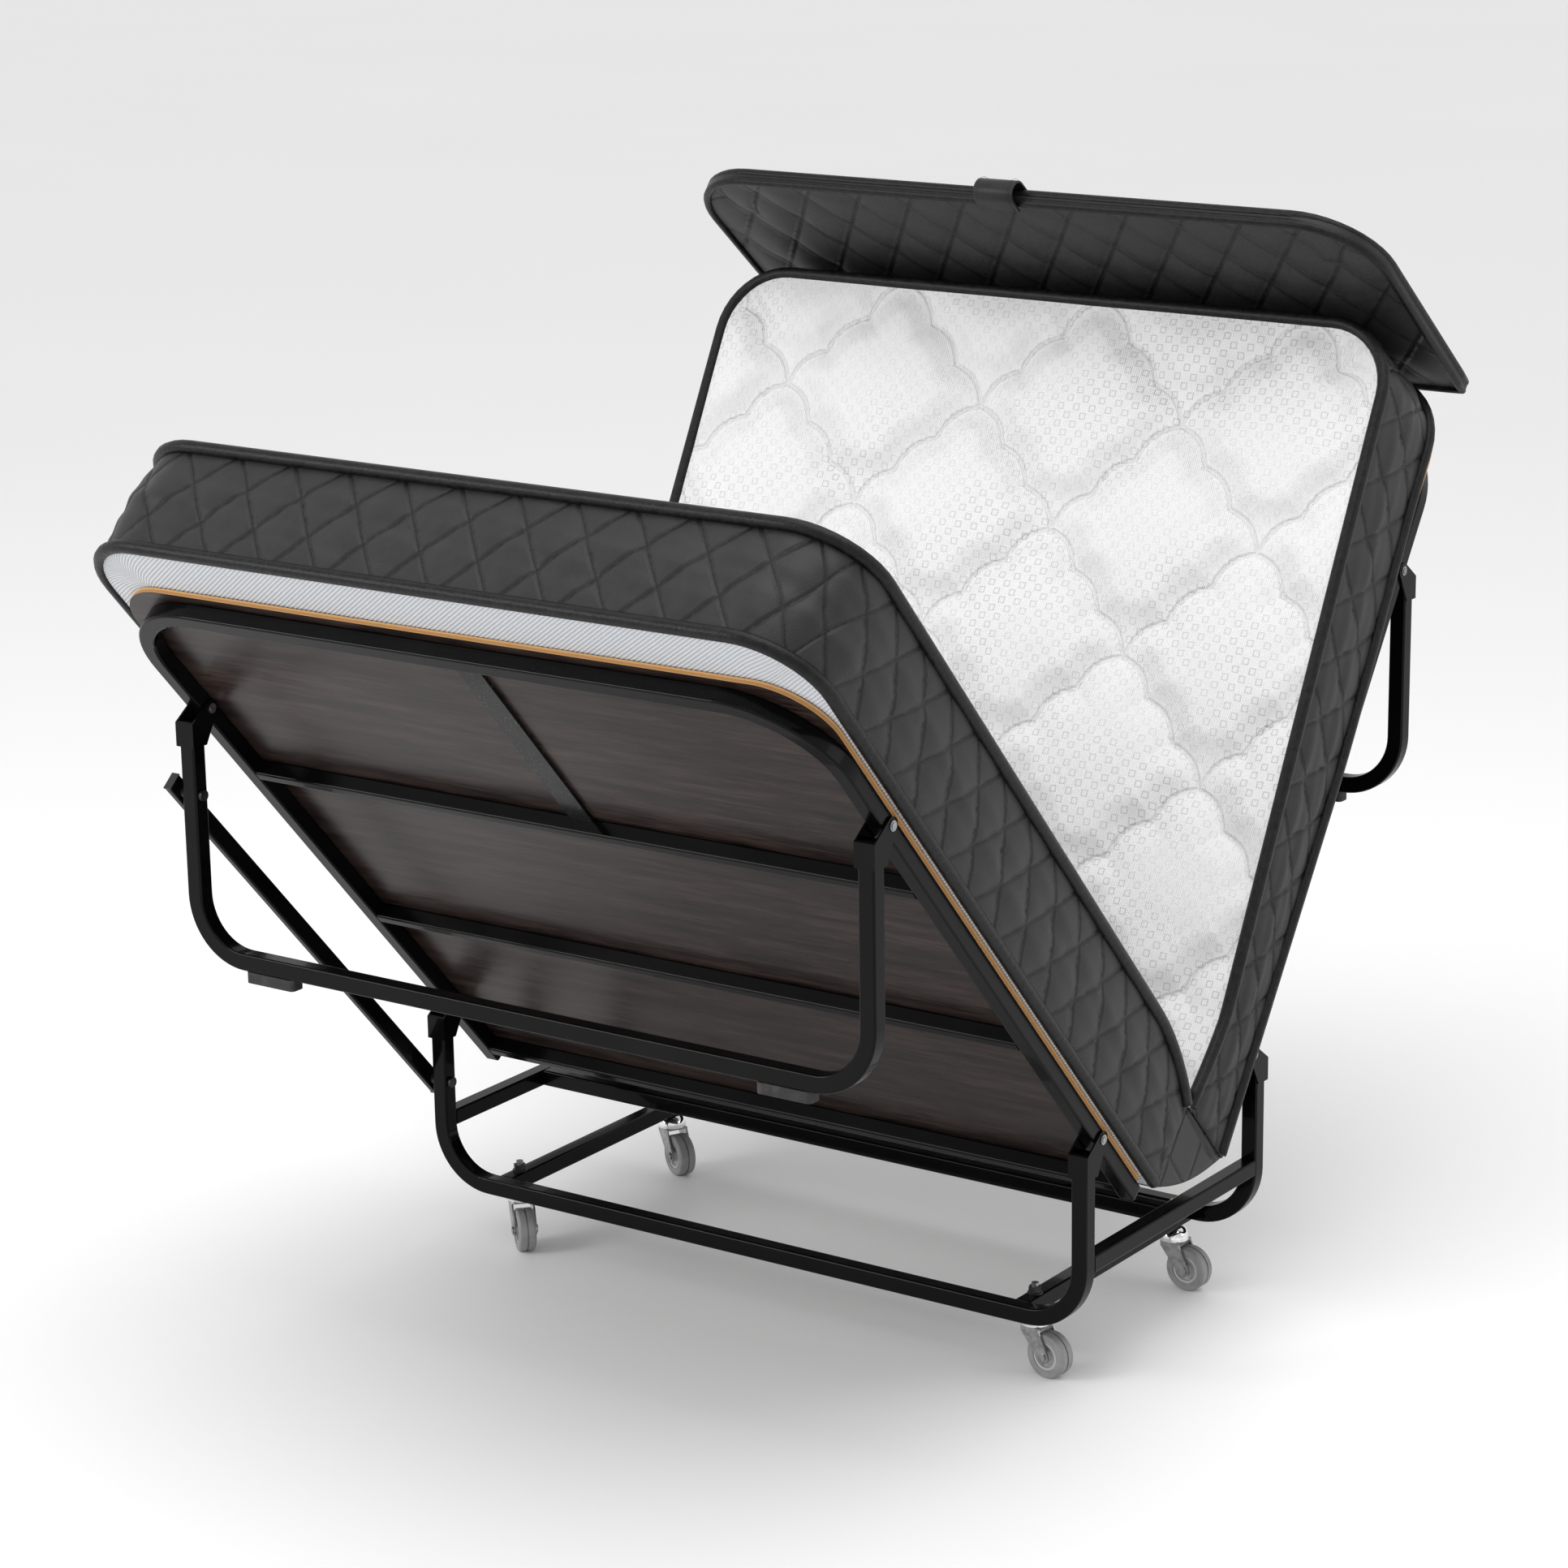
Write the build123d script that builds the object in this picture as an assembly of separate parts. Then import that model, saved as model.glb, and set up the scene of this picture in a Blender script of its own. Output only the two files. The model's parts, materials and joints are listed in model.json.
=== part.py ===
from build123d import *
import math
import os

# Rollaway bed, standing half folded on its castors.  Sizes are in millimetres and degrees.
# X runs along the bed, Y across it and Z up.  The origin is on the floor under the middle of
# the base.  "near" is the -X half, "far" the +X half, "left" +Y and "right" -Y.
# Each half is drawn once for the +X side about its own base pivot: s along the deck, Y across,
# and "off" upwards from the rails' centre plane.  It is then tilted, and mirrored for "near".

# ---- frame tube
tube = 19.0                     # square tube, outer width
tube_wall = 1.5
tube_corner = 2.5               # outer corner radius
bar_width = 13.0                # cross bars, as tall as the tube
post_spacing = 860.0            # across the bed, between tube centre lines

# ---- plywood and mattress
ply_thickness = 6.0
ply_overhang = 8.0              # past the rails' centre lines
ply_end_overhang = 10.0         # past the end tube
ply_corner = 70.0
ply_tail_near = 105.0           # inner end, past the pivot
ply_tail_far = 140.0
ply_tongue_inset = 16.0         # how much narrower the far tail is than the rail centre lines
mattress_thickness = 145.0
mattress_side_overhang = 20.0   # past the rails' centre lines
mattress_overhang_near = 62.0   # past the plywood's outer end
mattress_overhang_far = 10.0
mattress_corner = 80.0
mattress_tail = 125.0           # inner end, past the pivot
fold_clearance = 2.0            # from a folded mattress to the bed's middle plane
fold_arc_gap = 0.5              # from the turning inner end to the middle plane

# ---- foam core that follows the fold
core_thickness = 50.0
core_side_inset = 50.0          # from the mattress's sides
core_drop = 3.0                 # below the middle of the mattress
core_length = 215.0
core_middle_gap = 7.5           # from the flat bed's middle plane
core_pocket_gap = 2.0
core_travel = 0.167 * 1000      # slide per radian of fold

# ---- base
base_rise = 215.0               # from the underside of the base to the pivots
base_bend = 65.0                # centre-line radius of the U bends
tail_clearance = 1.5            # from the turning mattress to the side tubes
lower_tube_inset = 80.0         # from the post centre line to the lower side tube
rail_gap = 0.5                  # from an upright rail to its post
post_drop = 13.0                # from a pivot down to the post's top

# ---- deck frame
rail_end = 775.0                # outer face of the end tube
rail_tail_step = 11.0           # the rails stop this short of the mattress's inner end
deck_bend = 100.0
leg_pivot_s = 585.0
bar_leg_gap = 114.5             # the outer cross bar stops this far short of the leg pivots
bar_places = (leg_pivot_s - bar_leg_gap, 190.0, -94.5)
strut_width = 30.0
strut_thickness = 4.0
strut_y = -10.0
cap_thickness = 1.5
cap_plug = 14.0

# ---- legs and links
leg_bend = 65.0
foot_height = 12.0
foot_length = 65.0
foot_inset = 100.0              # from the post centre line to the foot's middle
link_drop = 91.0                # link pivots below the deck pivots
link_height = 20.0
link_thickness = 10.0
link_wall = 1.5
link_overhang = 18.0            # past its end pivots, without the cap
link_spacer = 6.5               # between a post and the link

# ---- pivots
pin_radius = 3.0
pin_clearance = 0.05
open_pivot_clearance = 0.5      # the link's outer pivot closes the linkage
bracket_sheet = 2.0
bracket_gap = 0.6               # between a rail and the bracket's ear
bracket_nose = 9.0
bracket_depth = 26.0            # height of the collar
bracket_tab = 1.5
rivet_flange_radius = 5.5
rivet_flange = 1.2
rivet_dome_radius = 3.4
rivet_dome = 1.0
bolt_head_radius = 6.0
bolt_head = 4.0
bolt_spacer_radius = 6.0
nut_flats = 10.0
nut_height = 4.5
side_play = 0.3                 # between turning faces

# ---- castors
castor_inset = 24.5             # from a base post's inner face to the stem
wheel_diameter = 50.0
wheel_width = 20.0
hub_radius = 16.0
hub_boss_radius = 6.5
hub_play = 0.5
trail = 21.0
wheel_headroom = 4.0
fork_sheet = 2.0
fork_plate_radius = 15.0
fork_boss_radius = 7.5
raceway_radius = 17.0
raceway_height = 14.7
stem_radius = 4.0
stem_head_radius = 6.0
stem_head = 1.3
stem_stud = 12.0                # above the lower side tube
stem_nut_flats = 13.0
stem_nut_height = 6.5
washer_radius = 8.5
washer_thickness = 1.2
tyre_round = 3.0
tyre_groove = 1.5

# ---- end flap with its strap loop
flap_hinge_gap = 15.0           # from the plywood's end to the flap's hinge line
flap_hinge_off = 9.0
flap_length = 344.0
flap_side_overhang = 8.0        # past the mattress's sides
flap_thickness = 24.0
flap_corner = 90.0
flap_angle = 84.5               # from the deck, at rest
flap_face_gap = 1.0             # from the hinge line to the flap's inner face
hinge_bead_radius = 4.0
hem_thickness = 3.0
hem_side_inset = 38.0           # from the flap's sides
strap_width = 52.0
strap_sheet = 3.0
strap_leg = 54.0
strap_rise = 28.0               # finger room above the flap's edge
strap_y = 5.0

# ---- resting pose
angle_near = 48.0
angle_far = 55.5
# direction that each castor trails in, degrees from +X towards +Y
castor_turn = {"near_right": -98, "far_right": -92, "near_left": -132, "far_left": -118}

# ---- sizes that follow
half_tube = tube / 2
half_spacing = post_spacing / 2
ply_under = half_tube
ply_top = ply_under + ply_thickness
ply_end = rail_end + ply_end_overhang
mattress_width = post_spacing + 2 * mattress_side_overhang
mattress_end_near = ply_end + mattress_overhang_near
mattress_end_far = ply_end + mattress_overhang_far
core_width = mattress_width - 2 * core_side_inset
flap_width = mattress_width + 2 * flap_side_overhang
hem_width = flap_width - 2 * hem_side_inset
mattress_top = ply_top + mattress_thickness
pivot_x = mattress_top + fold_clearance
post_offset = tube + rail_gap
base_post_x = pivot_x + post_offset
inner_face_x = base_post_x - half_tube
plate_low = wheel_diameter + wheel_headroom
plate_top = plate_low + fork_sheet
base_low = plate_top + side_play + raceway_height
base_tube_z = base_low + half_tube
pivot_z = base_low + base_rise
fold_reach = pivot_x - fold_arc_gap
side_tube_z = pivot_z - math.hypot(mattress_tail, ply_top) - tail_clearance - half_tube
rail_tail = mattress_tail - rail_tail_step
leg_low = pivot_z - foot_height
ear_inner = half_tube + bracket_gap
ear_outer = ear_inner + bracket_sheet
link_inner = half_spacing + half_tube + link_spacer
link_outer = link_inner + link_thickness
castor_x = inner_face_x - castor_inset
castor_y = half_spacing - lower_tube_inset
flap_hinge_s = ply_end + flap_hinge_gap


class Half:
    """One folding half: its tilt at rest, and what differs between near and far."""

    def __init__(self, name, angle, ply_tail, mattress_end):
        self.name = name
        self.angle = angle
        self.ply_tail = ply_tail
        self.mattress_end = mattress_end

    def side(self, shape):
        """Mirror a shape drawn for the +X side if this is the near half."""
        return mirror(shape, about=Plane.YZ) if self.name == "near" else shape

    def on_deck(self, shape):
        return self.side(Location((pivot_x, 0, pivot_z), (0, -self.angle, 0)) * shape)

    def on_base(self, shape):
        return self.side(Location((pivot_x, 0, pivot_z)) * shape)

    def on_link(self, shape):
        start = (pivot_x + post_offset, 0, pivot_z - link_drop)
        return self.side(Location(start, (0, -self.angle, 0)) * shape)

    def on_leg(self, shape):
        along = math.radians(self.angle)
        x = pivot_x + leg_pivot_s * math.cos(along)
        z = pivot_z + leg_pivot_s * math.sin(along)
        return self.side(Location((x, 0, z)) * shape)


halves = (Half("near", angle_near, ply_tail_near, mattress_end_near),
          Half("far", angle_far, ply_tail_far, mattress_end_far))


# ---- helpers

def save(name, shapes):
    """Write one node; several separate solids go into one compound."""
    solids = [solid for shape in shapes for solid in shape.solids()]
    shape = solids[0] if len(solids) == 1 else Compound(solids)
    export_step(shape, f"parts/{name}.step")


def tube_section(width=tube, height=tube, wall=tube_wall):
    outer = RectangleRounded(width, height, tube_corner)
    return outer - RectangleRounded(width - 2 * wall, height - 2 * wall, tube_corner - wall)


def bent_tube(points, radius, up):
    """Square tube along a line with rounded corners; up lies in the section."""
    path = FilletPolyline(*points, radius=radius)
    start = Plane(origin=path @ 0, x_dir=up, z_dir=path % 0)
    return sweep(start * tube_section(), path=path)


def tube_along_x(length, wide=tube, tall=tube):
    return extrude(Plane.YZ * tube_section(wide, tall), amount=length / 2, both=True)


def tube_along_y(length, wide=tube, tall=tube):
    return extrude(Plane.XZ * tube_section(wide, tall), amount=length / 2, both=True)


def rod_y(radius, low, high, x=0.0, z=0.0):
    """Round bar along Y between two Y values."""
    middle = (low + high) / 2
    return Pos(x, middle, z) * Rot(90, 0, 0) * Cylinder(radius, high - low)


def rod_z(radius, low, high, x=0.0, y=0.0):
    return Pos(x, y, (low + high) / 2) * Cylinder(radius, high - low)


def slab(x_low, x_high, y_low, y_high, z_low, z_high):
    size = (x_high - x_low, y_high - y_low, z_high - z_low)
    return Pos((x_low + x_high) / 2, (y_low + y_high) / 2, (z_low + z_high) / 2) * Box(*size)


def both_sides(shape):
    """The shape at the left, and its twin at the right."""
    return [shape, mirror(shape, about=Plane.XZ)]


# ---- pivots, shared by the base and the legs

def post_bracket():
    """Sheet collar on a post's top, with two ears that reach the pivot at the origin."""
    outer_x = post_offset + half_tube + bracket_sheet
    top = -post_drop + bracket_tab
    collar = Pos((post_offset - half_tube + outer_x) / 2, top - bracket_depth / 2) * Rectangle(
        outer_x - post_offset + half_tube, bracket_depth)
    ear = make_hull(Circle(bracket_nose).edges() + collar.edges())
    ears = extrude(Plane.XZ * ear, amount=ear_outer, both=True)
    ears -= slab(-tube, outer_x - bracket_sheet, -ear_inner, ear_inner, -post_drop * 4, tube)
    inner_x = post_offset - half_tube
    ears += slab(inner_x, outer_x, -ear_outer, ear_outer, -post_drop, top)
    ears -= rod_y(pin_radius, -ear_outer, ear_outer)
    return Pos(0, half_spacing, 0) * ears


def pivot_rivet():
    """Flanged rivet through both ears and the rail between them."""
    rivet = rod_y(pin_radius, -ear_outer, ear_outer)
    flange_end = ear_outer + rivet_flange
    for sign in (-1, 1):
        flange = sorted((sign * ear_outer, sign * flange_end))
        dome = sorted((sign * flange_end, sign * (flange_end + rivet_dome)))
        rivet += rod_y(rivet_flange_radius, *flange)
        rivet += rod_y(rivet_dome_radius, *dome)
    return Pos(0, half_spacing, 0) * rivet


def link_bolt():
    """Shoulder bolt through a left post, with the nut that keeps the link on it."""
    inner = half_spacing - half_tube
    outer = half_spacing + half_tube
    nut_low = link_outer + side_play
    bolt = rod_y(bolt_head_radius, inner - bolt_head, inner)
    bolt += rod_y(pin_radius, inner, nut_low + nut_height)
    bolt += rod_y(bolt_spacer_radius, outer, link_inner - side_play)
    hexagon = RegularPolygon(nut_flats / 2, 6, major_radius=False)
    nut = extrude(Plane((0, nut_low, 0), x_dir=(1, 0, 0), z_dir=(0, 1, 0)) * hexagon, nut_height)
    nut -= rod_y(pin_radius, nut_low - 1, nut_low + nut_height + 1)
    place = Pos(post_offset, 0, -link_drop)
    return [place * bolt, place * nut]


def bolt_hole():
    """Hole for the link bolt in a left post."""
    return rod_y(pin_radius, half_spacing - tube, half_spacing + tube, post_offset, -link_drop)


def u_frame(low, radius):
    """Bent U of two posts and a bottom tube, standing post_offset beyond its pivot line."""
    top = -post_drop
    bottom = low + half_tube
    points = [(post_offset, -half_spacing, top), (post_offset, -half_spacing, bottom),
              (post_offset, half_spacing, bottom), (post_offset, half_spacing, top)]
    return bent_tube(points, radius, (1, 0, 0)) - bolt_hole()


# ---- base

def lower_side_tube():
    body = Pos(0, castor_y, base_tube_z) * tube_along_x(2 * inner_face_x)
    for x in (-castor_x, castor_x):
        body -= rod_z(stem_radius, base_low - 1, base_low + tube + 1, x, castor_y)
    return body


def make_base():
    for half in halves:
        save(f"base_frame_{half.name}", [half.on_base(u_frame(base_low - pivot_z, base_bend))])
    side_tube = Pos(0, half_spacing, side_tube_z) * tube_along_x(2 * inner_face_x)
    save("upper_side_tubes", both_sides(side_tube))
    save("lower_side_tubes", both_sides(lower_side_tube()))
    save("centre_cross_tube", [Pos(0, 0, side_tube_z) * tube_along_y(post_spacing - tube)])
    brackets = both_sides(post_bracket())
    rivets = both_sides(pivot_rivet())
    save("base_brackets", [half.on_base(shape) for half in halves for shape in brackets])
    save("base_pivot_rivets", [half.on_base(shape) for half in halves for shape in rivets])
    save("base_link_bolts", [half.on_base(shape) for half in halves for shape in link_bolt()])


# ---- decks

def deck_frame():
    centre = rail_end - half_tube
    inner = -(rail_tail - cap_thickness)
    points = [(inner, -half_spacing, 0), (centre, -half_spacing, 0),
              (centre, half_spacing, 0), (inner, half_spacing, 0)]
    frame = bent_tube(points, deck_bend, (0, 0, 1))
    reach = half_spacing + tube
    for s in (0, leg_pivot_s):
        frame -= rod_y(pin_radius + pin_clearance, -reach, reach, s)
    return frame


def cross_bars():
    return [Pos(s, 0, 0) * tube_along_y(post_spacing - tube, bar_width) for s in bar_places]


def centre_strut():
    inner = bar_places[0] + bar_width / 2
    low_y = strut_y - strut_width / 2
    return slab(inner, rail_end - tube, low_y, low_y + strut_width,
                ply_under - strut_thickness, ply_under)


def rail_caps():
    """Plastic plug in each rail's inner end."""
    end = -rail_tail
    bore = half_tube - tube_wall
    cap = slab(end, end + cap_thickness, -half_tube, half_tube, -half_tube, half_tube)
    cap = fillet(cap.edges().filter_by(Axis.X), tube_corner)
    plug = slab(end + cap_thickness, end + cap_thickness + cap_plug, -bore, bore, -bore, bore)
    plug = fillet(plug.edges().filter_by(Axis.X), tube_corner - tube_wall)
    return both_sides(Pos(0, half_spacing, 0) * (cap + plug))


def plywood(half):
    edge = half_spacing + ply_overhang
    board = slab(-ply_tail_near, ply_end, -edge, edge, ply_under, ply_top)
    outer = board.edges().filter_by(Axis.Z).group_by(Axis.X)[-1]
    board = fillet(outer, ply_corner)
    if half.ply_tail > ply_tail_near:
        tongue = half_spacing - ply_tongue_inset
        board += slab(-half.ply_tail, -ply_tail_near, -tongue, tongue, ply_under, ply_top)
    return board


def mattress(half):
    """Foam block whose inner end is round about the pivot, with the core's pocket."""
    arc_s = -math.sqrt(fold_reach ** 2 - mattress_top ** 2)
    arc_off = math.sqrt(fold_reach ** 2 - mattress_tail ** 2)
    middle = (math.atan2(mattress_top, arc_s) + math.atan2(arc_off, -mattress_tail)) / 2
    over = (fold_reach * math.cos(middle), fold_reach * math.sin(middle))
    outline = Polyline((-mattress_tail, arc_off), (-mattress_tail, ply_top),
                       (half.mattress_end, ply_top), (half.mattress_end, mattress_top),
                       (arc_s, mattress_top))
    outline += ThreePointArc((arc_s, mattress_top), over, (-mattress_tail, arc_off))
    block = extrude(Plane.XZ * make_face(outline), amount=mattress_width / 2, both=True)
    outer = block.edges().filter_by(Axis.Z).group_by(Axis.X)[-1]
    block = fillet(outer, mattress_corner)
    wide = core_width / 2 + core_pocket_gap
    low = core_low() - core_pocket_gap
    high = core_low() + core_thickness + core_pocket_gap
    return block - slab(-2 * mattress_tail, pocket_end(), -wide, wide, low, high)


def core_low():
    return (ply_top + mattress_top - core_thickness) / 2 - core_drop


def core_outer(angle):
    """How far the core's outer end is from the pivot when the deck stands at an angle."""
    flat = core_length - (pivot_x - core_middle_gap)
    return flat + core_travel * math.radians(angle)


def pocket_end():
    return core_outer(90) + core_pocket_gap


def mattress_core(half):
    end = core_outer(half.angle)
    low = core_low()
    half_width = core_width / 2
    return slab(end - core_length, end, -half_width, half_width, low, low + core_thickness)


def make_deck(half):
    name = f"deck_{half.name}"
    save(f"{name}_frame", [half.on_deck(deck_frame())])
    save(f"{name}_cross_bars", [half.on_deck(bar) for bar in cross_bars()])
    save(f"{name}_centre_strut", [half.on_deck(centre_strut())])
    save(f"{name}_rail_caps", [half.on_deck(cap) for cap in rail_caps()])
    save(f"{name}_plywood", [half.on_deck(plywood(half))])
    save(f"mattress_{half.name}", [half.on_deck(mattress(half))])
    save(f"mattress_core_{half.name}", [half.on_deck(mattress_core(half))])


# ---- legs and links

def foot_pads():
    top = -leg_low
    middle = half_spacing - foot_inset
    pad = slab(post_offset - half_tube, post_offset + half_tube, middle - foot_length / 2,
               middle + foot_length / 2, top - foot_height, top)
    return both_sides(fillet(pad.edges().filter_by(Axis.Z), 5))


def make_leg(half):
    name = f"leg_{half.name}"
    save(f"{name}_frame", [half.on_leg(u_frame(-leg_low, leg_bend))])
    save(f"{name}_brackets", [half.on_leg(shape) for shape in both_sides(post_bracket())])
    save(f"{name}_pivot_rivets", [half.on_leg(shape) for shape in both_sides(pivot_rivet())])
    save(f"{name}_foot_pads", [half.on_leg(pad) for pad in foot_pads()])
    save(f"{name}_link_bolt", [half.on_leg(shape) for shape in link_bolt()])


def link_bar():
    middle = leg_pivot_s / 2
    section = Plane.YZ * tube_section(link_thickness, link_height, link_wall)
    bar = extrude(section, amount=middle + link_overhang, both=True)
    bar = Pos(middle, link_inner + link_thickness / 2, 0) * bar
    bar -= rod_y(pin_radius + pin_clearance, link_inner - 1, link_outer + 1)
    outer_hole = pin_radius + open_pivot_clearance
    return bar - rod_y(outer_hole, link_inner - 1, link_outer + 1, leg_pivot_s)


def link_caps():
    caps = []
    tall = link_height / 2
    for end, sign in ((-link_overhang, -1), (leg_pivot_s + link_overhang, 1)):
        low, high = sorted((end, end + sign * cap_thickness))
        caps.append(slab(low, high, link_inner, link_outer, -tall, tall))
    return caps


def make_link(half):
    save(f"link_bar_{half.name}", [half.on_link(link_bar())])
    save(f"link_caps_{half.name}", [half.on_link(cap) for cap in link_caps()])


# ---- castors, drawn with the stem on Z and the trail along +X

def castor_fork():
    inner = wheel_width / 2 + 1 + hub_play
    outer = inner + fork_sheet
    plate = rod_z(fork_plate_radius, plate_low, plate_top)
    plate += slab(-fork_plate_radius * 0.6, fork_plate_radius, -outer, outer, plate_low, plate_top)
    axle_z = wheel_diameter / 2
    root = Pos(2, (plate_low + plate_top) / 2 - 2) * Rectangle(fork_plate_radius * 1.5, 6)
    boss = Pos(trail, axle_z) * Circle(fork_boss_radius)
    cheek = make_hull(boss.edges() + root.edges())
    cheeks = extrude(Plane.XZ * cheek, amount=outer, both=True)
    cheeks -= slab(-tube * 2, tube * 3, -inner, inner, 0, plate_top + 1)
    cheeks -= slab(-tube * 2, tube * 3, -outer, outer, plate_top, plate_top + tube)
    fork = plate + cheeks
    fork -= rod_z(stem_radius + pin_clearance, plate_low - 1, plate_top + 1)
    return fork - rod_y(pin_radius, -outer - 1, outer + 1, trail, axle_z)


def castor_axle():
    outer = wheel_width / 2 + 1 + hub_play + fork_sheet
    axle_z = wheel_diameter / 2
    axle = rod_y(pin_radius, -outer - 1, outer + 1, trail, axle_z)
    for sign in (-1, 1):
        low, high = sorted((sign * outer, sign * (outer + 1.5)))
        axle += rod_y(pin_radius + 1.5, low, high, trail, axle_z)
    return axle


def turned(profile):
    """Solid of revolution about the wheel's axle; the profile is drawn as (radius, y)."""
    ring = revolve(Plane.XY * profile, axis=Axis.Y)
    return Pos(trail, 0, wheel_diameter / 2) * ring


def castor_hub():
    half_width = wheel_width / 2
    boss = Pos((pin_radius + pin_clearance + hub_boss_radius) / 2, 0) * Rectangle(
        hub_boss_radius - pin_radius - pin_clearance, wheel_width + 2)
    web = Pos((hub_boss_radius + hub_radius) / 2, 0) * Rectangle(
        hub_radius - hub_boss_radius + 1, half_width)
    rim = Pos(hub_radius - 1.5, 0) * Rectangle(3, wheel_width - 2)
    web &= Pos(hub_radius / 2, 0) * Rectangle(hub_radius, wheel_width)
    return turned(boss + web + rim)


def castor_tyre():
    radius = wheel_diameter / 2
    band = Pos((hub_radius + radius) / 2, 0) * Rectangle(radius - hub_radius, wheel_width)
    corners = band.vertices().group_by(Axis.X)[-1]
    band = fillet(corners, tyre_round)
    return turned(band - Pos(radius, 0) * Rectangle(2 * tyre_groove, 2))


def stem():
    head_top = plate_low - side_play
    top = base_low + tube + stem_stud
    shank = rod_z(stem_radius, head_top - stem_head, top)
    return shank + rod_z(stem_head_radius, head_top - stem_head, head_top)


def raceway():
    """Domed ball race between the fork plate and the tube."""
    low = plate_top + side_play
    cup = rod_z(raceway_radius, low, low + raceway_height)
    cup = fillet(cup.edges().group_by(Axis.Z)[-1], raceway_height * 0.8)
    return cup - rod_z(stem_radius, low - 1, base_low + 1)


def stem_nut():
    low = base_low + tube
    nut = rod_z(washer_radius, low, low + washer_thickness)
    hexagon = RegularPolygon(stem_nut_flats / 2, 6, major_radius=False)
    nut += Pos(0, 0, low + washer_thickness) * extrude(hexagon, stem_nut_height)
    return nut - rod_z(stem_radius, low - 1, low + tube)


def castor_place(corner):
    x = castor_x if corner.startswith("far") else -castor_x
    y = castor_y if corner.endswith("left") else -castor_y
    return Location((x, y, 0), (0, 0, castor_turn[corner]))


def make_castors():
    for corner in castor_turn:
        place = castor_place(corner)
        save(f"castor_{corner}_fork", [place * castor_fork()])
        save(f"castor_{corner}_axle", [place * castor_axle()])
        save(f"castor_{corner}_hub", [place * castor_hub()])
        save(f"castor_{corner}_tyre", [place * castor_tyre()])
    places = [castor_place(corner) for corner in castor_turn]
    save("castor_stems", [place * stem() for place in places])
    save("castor_raceways", [place * raceway() for place in places])
    save("castor_nuts", [place * stem_nut() for place in places])


# ---- end flap, drawn upright about its hinge line: Z to its free edge, +X outwards

def end_flap():
    half_width = flap_width / 2
    low = hinge_bead_radius / 2
    board = slab(flap_face_gap, flap_face_gap + flap_thickness, -half_width, half_width,
                 low, flap_length)
    corners = board.edges().filter_by(Axis.X).group_by(Axis.Z)[-1]
    board = fillet(corners, flap_corner)
    return board + rod_y(hinge_bead_radius, -hem_width / 2, hem_width / 2)


def flap_strap():
    """Folded strap over the free edge; its loop stands above the edge."""
    middle = flap_face_gap + flap_thickness / 2
    outer = flap_thickness / 2 + strap_sheet
    inner = flap_thickness / 2
    crown = flap_length + strap_rise - inner
    foot = flap_length - strap_leg
    band = Pos(middle, (foot + crown) / 2) * Rectangle(2 * outer, crown - foot)
    band += Pos(middle, crown) * Circle(outer)
    hollow = Pos(middle, (foot + crown) / 2) * Rectangle(2 * inner, crown - foot)
    hollow += Pos(middle, crown) * Circle(inner)
    loop = extrude(Plane.XZ * (band - hollow), amount=strap_width / 2, both=True)
    return Pos(0, strap_y, 0) * loop


def flap_hem():
    """Leathercloth hem on the plywood's end, stopping just short of the hinge bead."""
    end = flap_hinge_s - hinge_bead_radius - side_play
    half_width = hem_width / 2 - ply_corner
    return slab(ply_end, end, -half_width, half_width, ply_under, ply_under + hem_thickness)


def make_flap(half):
    place = Location((flap_hinge_s, 0, flap_hinge_off), (0, 90 - flap_angle, 0))
    save("end_flap", [half.on_deck(place * end_flap())])
    save("flap_strap", [half.on_deck(place * flap_strap())])
    save("flap_hem", [half.on_deck(flap_hem())])


os.makedirs("parts", exist_ok=True)
make_base()
for half in halves:
    make_deck(half)
    make_leg(half)
    make_link(half)
make_castors()
make_flap(halves[1])
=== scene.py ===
import json
import math

import bmesh
import bpy
from mathutils import Matrix, Vector


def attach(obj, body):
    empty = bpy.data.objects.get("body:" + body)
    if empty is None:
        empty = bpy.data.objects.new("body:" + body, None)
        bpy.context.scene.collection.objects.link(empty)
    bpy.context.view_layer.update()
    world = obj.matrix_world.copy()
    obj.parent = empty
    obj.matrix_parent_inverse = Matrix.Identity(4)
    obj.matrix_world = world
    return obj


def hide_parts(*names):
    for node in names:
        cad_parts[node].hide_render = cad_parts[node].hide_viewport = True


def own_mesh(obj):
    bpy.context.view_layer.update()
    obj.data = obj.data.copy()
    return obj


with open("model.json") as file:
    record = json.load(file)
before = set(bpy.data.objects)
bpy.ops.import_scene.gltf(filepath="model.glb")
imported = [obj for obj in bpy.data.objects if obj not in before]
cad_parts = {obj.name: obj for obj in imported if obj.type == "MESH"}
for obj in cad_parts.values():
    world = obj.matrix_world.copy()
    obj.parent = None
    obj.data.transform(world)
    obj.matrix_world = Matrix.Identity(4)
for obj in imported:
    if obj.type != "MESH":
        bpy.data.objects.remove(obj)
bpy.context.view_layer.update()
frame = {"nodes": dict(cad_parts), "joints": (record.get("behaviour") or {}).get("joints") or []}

# ---- places, in metres, from the frame
joints = {joint["name"]: joint for joint in frame["joints"]}
PIVOT_X = joints["far_fold"]["pos_m"][0]
PIVOT_Z = joints["far_fold"]["pos_m"][2]
NEAR_ANGLE = -joints["near_fold"]["range_deg"][0]
FAR_ANGLE = -joints["far_fold"]["range_deg"][0]
HINGE = Vector(joints["end_flap_hinge"]["pos_m"])

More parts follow.
